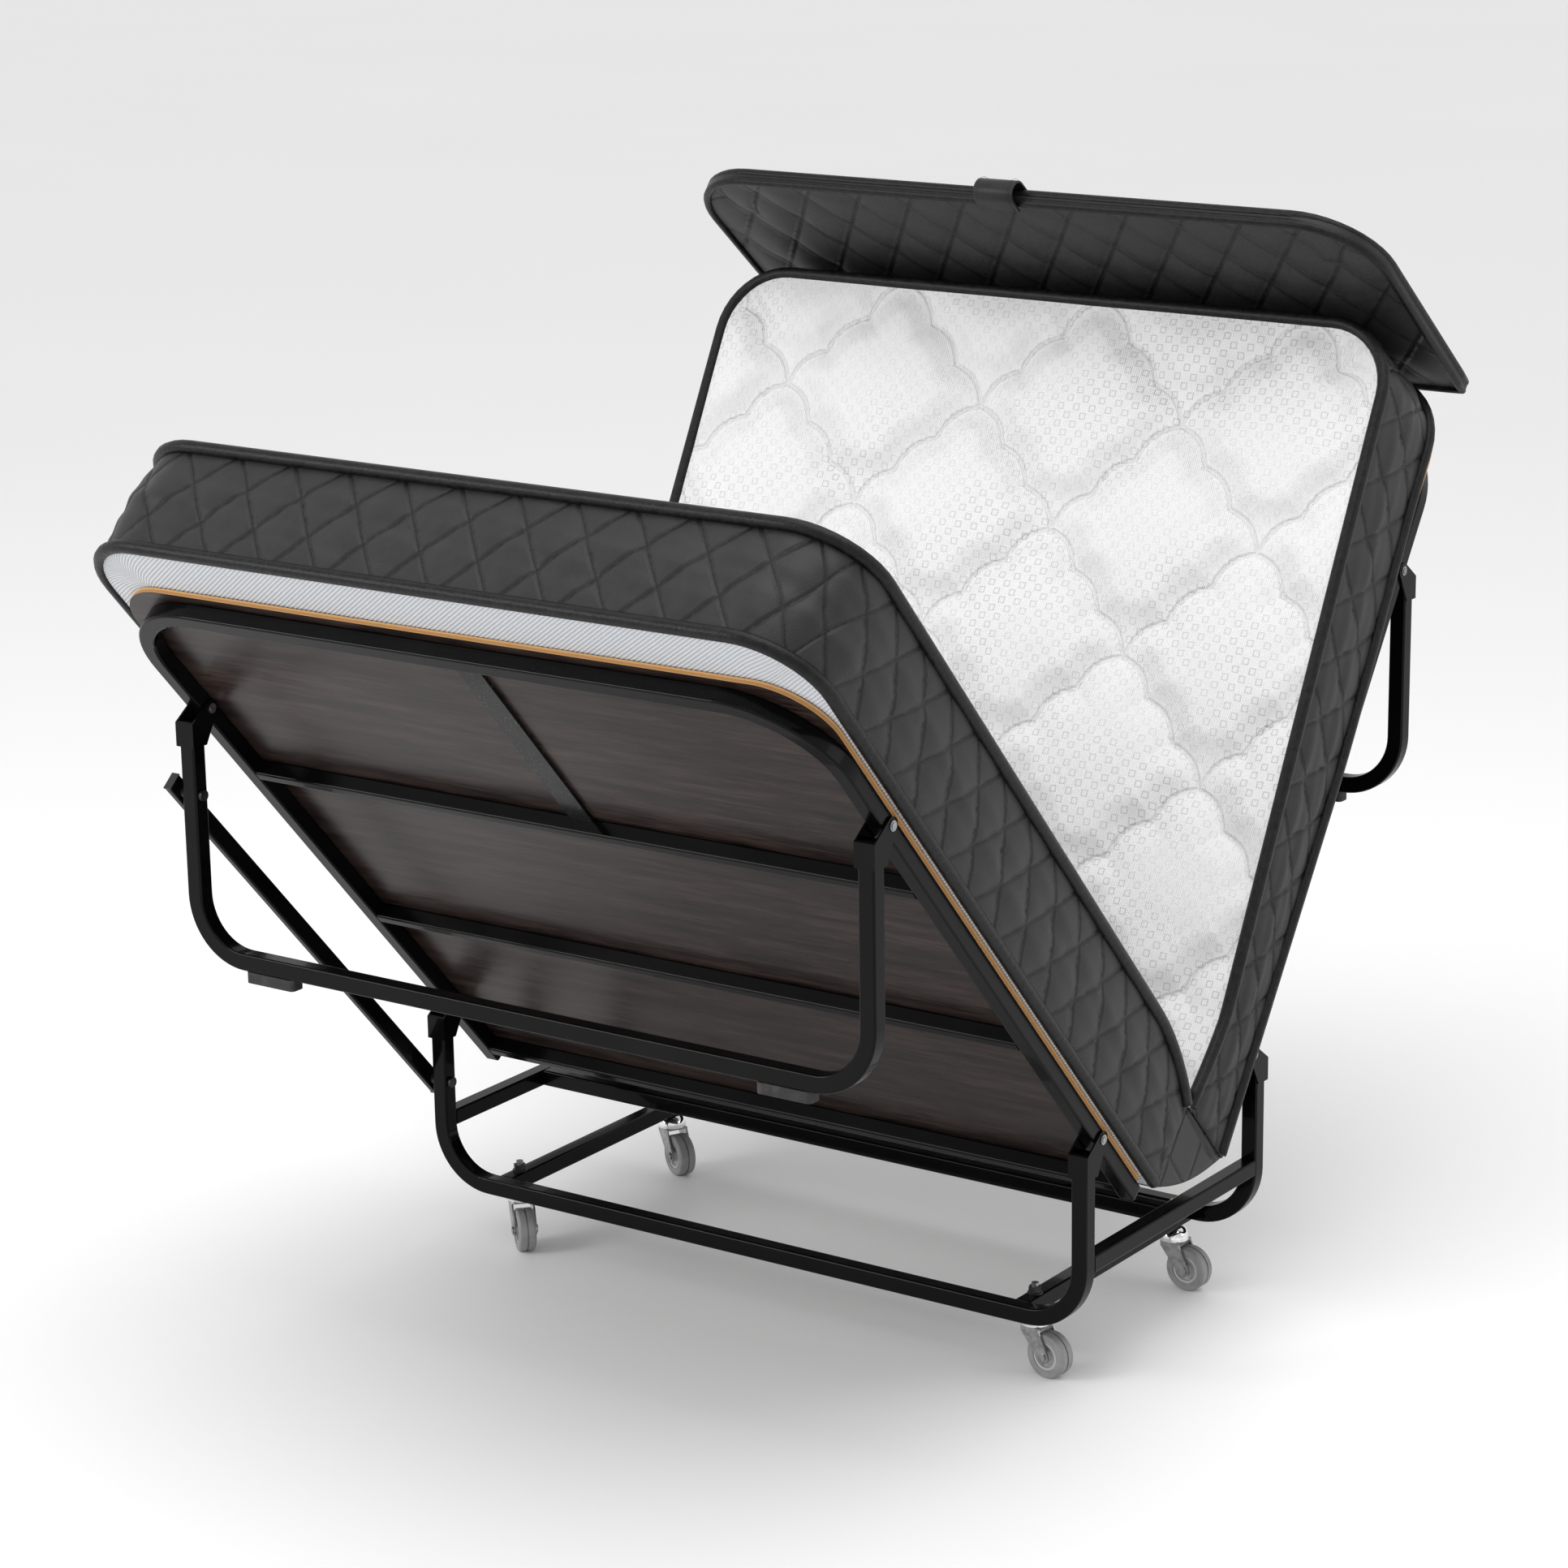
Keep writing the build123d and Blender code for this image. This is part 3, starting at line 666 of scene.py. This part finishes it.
def mattress_half(half):
    """Quilted cover of one half, with its top and bottom tapes."""
    length, inner = half.end, half.tail_low
    bm = unit_block(150, 136, 24)
    uv = bm.loops.layers.uv.new("cloth")
    span = length - inner
    for face in bm.faces:
        centre_x = inner + span * face.calc_center_median().x
        for loop in face.loops:
            x = inner + span * loop.vert.co.x
            y = (loop.vert.co.y - 0.5) * 2 * HALF_WIDTH
            if face.material_index != 1:
                loop[uv].uv = (x, y)
                continue
            at_fold = abs(face.normal.y) <= 0.5 and centre_x <= length - 1e-3
            run = y if at_fold else around(x, y, length, HALF_WIDTH, inner)
            loop[uv].uv = (run, loop.vert.co.z * BAND_TALL)
    for vert in bm.verts:
        h = vert.co.z
        x = inner + span * vert.co.x
        y = (vert.co.y - 0.5) * 2 * HALF_WIDTH
        run = around(x, y, length, HALF_WIDTH, inner)
        to_rim = min(length - x, HALF_WIDTH - abs(y), x - inner)
        x, y = round_end(x, y, length, HALF_WIDTH, CORNER)
        point = mattress_point(half, x, y, h)
        if 0.01 < h < 0.99:
            outward = wall_direction(x, y, length, HALF_WIDTH, CORNER, inner)
            crown = math.sin(math.pi * h)
            puff = diamond_puff(run, h * BAND_TALL)
            move = BORDER_CROWN * crown + BORDER_PUFF * puff * crown ** 0.5 - BORDER_SUNK
            move += BORDER_UNEVEN * ripple(run * 1.3, h * 2, 1.0) * crown
            if abs(x - inner) < 1e-5:
                move = -FOLD_INSET
            point += outward * move
        elif h > 0.5:
            inside = smooth(to_rim / RIM_FADE)
            point.z += inside * (TOP_PUFF * cell_puff(x, y) - TOP_SUNK)
            point.z += inside * TOP_UNEVEN * ripple(x, y, 2.0)
        else:
            point.z += smooth(to_rim / RIM_FADE) * BOTTOM_UNEVEN * ripple(x, y, 3.0)
        vert.co = half.place @ point
    bmesh.ops.recalc_face_normals(bm, faces=bm.faces)
    piece = new_piece(f"mattress_{half.name}_cover", bm, [WHITE, BORDER, UNDERSIDE])
    body = f"deck_{half.name}"
    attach(piece, body)
    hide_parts(f"mattress_{half.name}")
    pieces = [piece]
    for level, h, lift in (("top", 1.0, -0.002), ("bottom", 0.0, 0.004)):
        line = [mattress_point(half, x, y, h) + Vector((0, 0, lift))
                for x, y in plan_outline(length, HALF_WIDTH - 0.002, CORNER, inner + 0.003,
                                     closed=False)]
        tube = tube_along(f"mattress_{half.name}_{level}_tape", line, PIPING_RADIUS, TAPE,
                          half.place, closed=False)
        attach(tube, body)
        pieces.append(tube)
    if half.name == "far":
        for piece in pieces:
            anchor = half.place @ Vector((0.4, 0, FLOOR_OFF))
            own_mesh(piece)


def fold_block(half, outer, inner, outer_top, inner_top, shift):
    """White block that slides out of the half as it opens; shift is how far it is drawn in."""
    bm = unit_block(24, 60, 8)
    for vert in bm.verts:
        share = vert.co.x
        s = inner + (outer - inner) * share
        y = (vert.co.y - 0.5) * 2 * (HALF_WIDTH - 0.006)
        top = inner_top + (outer_top - inner_top) * smooth(share * 1.6)
        off = FLOOR_OFF + 0.003 + vert.co.z * (top - FLOOR_OFF - 0.003)
        if vert.co.z > 0.99 and 0.02 < vert.co.y < 0.98:
            off += 0.003 * (cell_puff(s, y) - 1)
        vert.co = half.place @ Vector((s + shift, y, off))
    uv = bm.loops.layers.uv.new("cloth")
    turned_back = half.place.inverted()
    for face in bm.faces:
        for loop in face.loops:
            point = turned_back @ loop.vert.co
            height = point.z - FLOOR_OFF
            across = abs(face.normal.y) > 0.5
            loop[uv].uv = (point.x, height) if face.material_index == 1 else (point.x, point.y)
    bmesh.ops.recalc_face_normals(bm, faces=bm.faces)
    piece = new_piece(f"fold_block_{half.name}", bm, [WHITE, BORDER, PLAIN_CLOTH])
    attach(piece, f"core_{half.name}")
    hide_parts(f"mattress_core_{half.name}")


def fold_bridge():
    """Cover bent round under the fold, between the two inner ends."""
    apex = Vector((0.003, 0, PIVOT_Z - 0.014))
    near_low = NEAR.place @ Vector((-0.124, 0, FLOOR_OFF - 0.001))
    far_low = FAR.place @ Vector((-0.124, 0, FLOOR_OFF - 0.001))
    bm = unit_block(18, 80, 10)
    for vert in bm.verts:
        x, y, h = vert.co.x, (vert.co.y - 0.5) * 2 * (HALF_WIDTH - 0.002), vert.co.z
        low = near_low.lerp(far_low, x)
        sag = math.sin(math.pi * x)
        low.z -= 0.010 * sag
        point = low.lerp(apex, h)
        vert.co = Vector((point.x, y, point.z))
    uv = bm.loops.layers.uv.new("cloth")
    for face in bm.faces:
        for loop in face.loops:
            loop[uv].uv = (loop.vert.co.x, loop.vert.co.z)
    bmesh.ops.remove_doubles(bm, verts=bm.verts, dist=1e-5)
    bmesh.ops.recalc_face_normals(bm, faces=bm.faces)
    piece = new_piece("fold_bridge", bm, [PLAIN_CLOTH, BORDER, PLAIN_CLOTH])
    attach(piece, "base")
    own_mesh(piece)


# ---- end flap

FLAP_LENGTH = 0.344
FLAP_HALF_WIDTH = 0.456
FLAP_CORNER = 0.090
FLAP_THICK = 0.019
FLAP_GAP = 0.001
FLAP_ROOT = 0.004               # the cover starts this far from the hinge line
FLAP_TAPE_RADIUS = 0.0052
FLAP_LEAN = 84.5                # degrees the flap stands from the far half at rest
FLAP_PUFF = 0.0036              # along the strong sewn lines
FLAP_SOFT_PUFF = 0.0030         # along the faint ones
FLAP_SUNK = 0.0042
FLAP_UNEVEN = 0.0016
STRAP_HALF_WIDTH = 0.026
STRAP_THICKNESS = 0.0028
STITCH_INSET = 0.005
STITCH_LIFT = 0.0016
STRAIGHT_STEPS = 6              # in each straight run of the strap


def flap_place():
    """Flap terms (w to the free edge, y, t outwards) to the bed's frame."""
    lean = math.radians(FAR_ANGLE + FLAP_LEAN)
    along = Vector((math.cos(lean), 0, math.sin(lean)))
    outward = Vector((math.sin(lean), 0, -math.cos(lean)))
    columns = (along, Vector((0, 1, 0)), outward)
    turn = Matrix([[column[row] for column in columns] for row in range(3)])
    return Matrix.Translation(HINGE) @ turn.to_4x4()


def end_flap():
    """Quilted flap with its inner and outer tapes."""
    place = flap_place()
    bm = unit_block(84, 210, 6)
    uv = bm.loops.layers.uv.new("cloth")
    low = FLAP_ROOT
    span = FLAP_LENGTH - low
    for face in bm.faces:
        for loop in face.loops:
            w = low + span * loop.vert.co.x
            y = (loop.vert.co.y - 0.5) * 2 * FLAP_HALF_WIDTH
            loop[uv].uv = (y, w + loop.vert.co.z * 0.02)
    for vert in bm.verts:
        h = vert.co.z
        w = low + span * vert.co.x
        y = (vert.co.y - 0.5) * 2 * FLAP_HALF_WIDTH
        to_rim = min(FLAP_LENGTH - w, FLAP_HALF_WIDTH - abs(y), w - low)
        sewn = abs(math.sin(math.pi * (y / FLAP_WIDE + w / FLAP_TALL)))
        soft = abs(math.sin(math.pi * (y / FLAP_WIDE - w / FLAP_TALL)))
        w, y = round_end(w, y, FLAP_LENGTH, FLAP_HALF_WIDTH, FLAP_CORNER)
        inside = smooth(to_rim / 0.035)
        puff = FLAP_PUFF * sewn ** 0.4 + FLAP_SOFT_PUFF * soft ** 0.6 - FLAP_SUNK
        puff += FLAP_UNEVEN * ripple(w * 1.5, y * 1.2, 4.0)
        t = FLAP_GAP + 0.003 + h * (FLAP_THICK - 0.006)
        if h < 0.01:
            t -= inside * puff
        elif h > 0.99:
            t += inside * puff
        vert.co = place @ Vector((w, y, t))
    bmesh.ops.recalc_face_normals(bm, faces=bm.faces)
    piece = new_piece("end_flap_cover", bm, [FLAP_CLOTH, PLAIN_CLOTH, FLAP_CLOTH])
    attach(piece, "flap")
    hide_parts("end_flap")
    outline = plan_outline(FLAP_LENGTH - 0.003, FLAP_HALF_WIDTH - 0.003, FLAP_CORNER, low + 0.003)
    for name, t in (("inner", FLAP_GAP + 0.004), ("outer", FLAP_GAP + FLAP_THICK - 0.004)):
        line = [Vector((w, y, t)) for w, y in outline]
        tube = tube_along(f"flap_{name}_tape", line, FLAP_TAPE_RADIUS, TAPE, place)
        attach(tube, "flap")


def flap_strap():
    """Folded strap over the free edge, with a line of stitches near each side."""
    place = flap_place()
    half_width = STRAP_HALF_WIDTH
    centre_y = 0.005
    front_low = FLAP_LENGTH - 0.010
    back_low = FLAP_LENGTH - 0.052
    crown = FLAP_LENGTH + 0.007
    middle = FLAP_GAP + FLAP_THICK / 2
    radius = FLAP_THICK / 2 + 0.005
    line = [(front_low + (crown - front_low) * step / STRAIGHT_STEPS, middle - radius)
            for step in range(STRAIGHT_STEPS)]
    for turn in range(0, 181, 12):
        angle = math.radians(turn)
        line.append((crown + radius * math.sin(angle), middle - radius * math.cos(angle)))
    back_start = len(line)
    line += [(crown - (crown - back_low) * step / STRAIGHT_STEPS, middle + radius)
             for step in range(1, STRAIGHT_STEPS + 1)]
    bm = bmesh.new()
    start = [bm.verts.new((line[0][0], centre_y - half_width, line[0][1])),
             bm.verts.new((line[0][0], centre_y + half_width, line[0][1]))]
    edges = [bm.edges.new(start)]
    for index in range(1, len(line)):
        grown = bmesh.ops.extrude_edge_only(bm, edges=edges)["geom"]
        moved = [item for item in grown if isinstance(item, bmesh.types.BMVert)]
        (w0, t0), (w1, t1) = line[index - 1], line[index]
        bmesh.ops.translate(bm, verts=moved, vec=(w1 - w0, 0, t1 - t0))
        edges = [item for item in grown if isinstance(item, bmesh.types.BMEdge)
                 and all(vert in moved for vert in item.verts)]
    bmesh.ops.recalc_face_normals(bm, faces=bm.faces)
    bmesh.ops.solidify(bm, geom=bm.faces[:], thickness=STRAP_THICKNESS)
    bmesh.ops.recalc_face_normals(bm, faces=bm.faces)
    bmesh.ops.transform(bm, matrix=place, verts=bm.verts)
    piece = new_piece("strap_loop", bm, [PLAIN_CLOTH])
    bevel = piece.modifiers.new("soft_edges", "BEVEL")
    bevel.width = 0.0009
    bevel.segments = 3
    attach(piece, "flap")
    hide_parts("flap_strap")
    stitches = bmesh.new()
    for y in (centre_y - half_width + STITCH_INSET, centre_y + half_width - STITCH_INSET):
        for index in range(len(line) - 1):
            (w0, t0), (w1, t1) = line[index], line[index + 1]
            if index < STRAIGHT_STEPS:
                away = Vector((0, 0, -1))
            elif index < back_start:
                away = Vector((w0 - crown, 0, t0 - middle)).normalized()
            else:
                away = Vector((0, 0, 1))
            away *= STITCH_LIFT
            spot = Vector(((w0 + w1) / 2, y, (t0 + t1) / 2)) + away
            run = Vector((w1 - w0, 0, t1 - t0))
            made = bmesh.ops.create_icosphere(stitches, subdivisions=1, radius=0.0005)["verts"]
            bmesh.ops.scale(stitches, verts=made, vec=(max(abs(run.x) * 450, 1), 1,
                                                       max(abs(run.z) * 450, 1)))
            bmesh.ops.translate(stitches, verts=made, vec=spot)
    bmesh.ops.transform(stitches, matrix=place, verts=stitches.verts)
    thread = new_piece("strap_stitches", stitches, [TAPE])
    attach(thread, "flap")


# ---- studio

def floor():
    bm = bmesh.new()
    bmesh.ops.create_grid(bm, x_segments=2, y_segments=2, size=40)
    piece = new_piece("studio_floor", bm, [])
    paint = Paint("studio_floor")
    cloud = paint.noise(paint.place(), 0.8)
    paint.drive("Base Color", paint.mix(cloud, (0.90, 0.90, 0.90), (0.93, 0.93, 0.93)))
    paint.drive("Roughness", cloud * 0.1 + 0.55)
    piece.data.materials.append(paint.material)


def light(name, place, target, size, power):
    """Soft rectangular lamp at place, facing target."""
    data = bpy.data.lights.new(name, "AREA")
    data.shape = "RECTANGLE"
    data.size = size[0]
    data.size_y = size[1]
    data.energy = power
    lamp = bpy.data.objects.new(name, data)
    bpy.context.scene.collection.objects.link(lamp)
    lamp.location = place
    lamp.rotation_euler = (Vector(target) - Vector(place)).to_track_quat("-Z", "Y").to_euler()


def studio():
    world = bpy.data.worlds.new("studio")
    world.use_nodes = True
    background = world.node_tree.nodes["Background"]
    background.inputs["Color"].default_value = (1.0, 1.0, 1.0, 1.0)
    background.inputs["Strength"].default_value = 0.86
    bpy.context.scene.world = world
    bpy.context.scene.view_settings.view_transform = "Standard"
    light("ceiling", (-0.4, -0.6, 3.4), (0, 0, 0.4), (3.2, 2.4), 52)
    light("window", (-3.6, 2.6, 2.2), (0, 0, 0.6), (1.6, 1.4), 62)
    light("fill", (1.6, -3.6, 1.7), (0, 0, 0.6), (2.0, 1.6), 10)


def camera():
    """Standing viewer's camera at the near right corner of the bed."""
    heading = math.radians(34.796)
    pitch = math.radians(16.058)
    roll = math.radians(-0.799)
    forward = Vector((math.cos(pitch) * math.cos(heading), math.cos(pitch) * math.sin(heading),
                      -math.sin(pitch)))
    level = Vector((math.sin(heading), -math.cos(heading), 0))
    upright = level.cross(forward)
    right = math.cos(roll) * level + math.sin(roll) * upright
    up = math.cos(roll) * upright - math.sin(roll) * level
    data = bpy.data.cameras.new("viewer")
    data.sensor_width = 36.0
    data.lens = 100.87
    data.shift_x = -0.0147
    data.shift_y = 0.0383
    viewer = bpy.data.objects.new("viewer", data)
    bpy.context.scene.collection.objects.link(viewer)
    turn = Matrix([right, up, -forward]).transposed().to_4x4()
    eye = Matrix.Translation((-3.8833, -2.6567, 1.8547))
    viewer.matrix_world = eye @ turn
    bpy.context.scene.camera = viewer


NEAR = Mattress("near", NEAR_ANGLE, -1, 0.847, -0.118)
FAR = Mattress("far", FAR_ANGLE, 1, 0.795, -0.100)

camera()
studio()
floor()
finish_frame()
mattress_half(NEAR)
mattress_half(FAR)
fold_block(NEAR, 0.055, -0.160, 0.146, 0.100, 0.140)
fold_block(FAR, 0.055, -0.160, 0.098, 0.094, 0.162)
fold_bridge()
end_flap()
flap_strap()
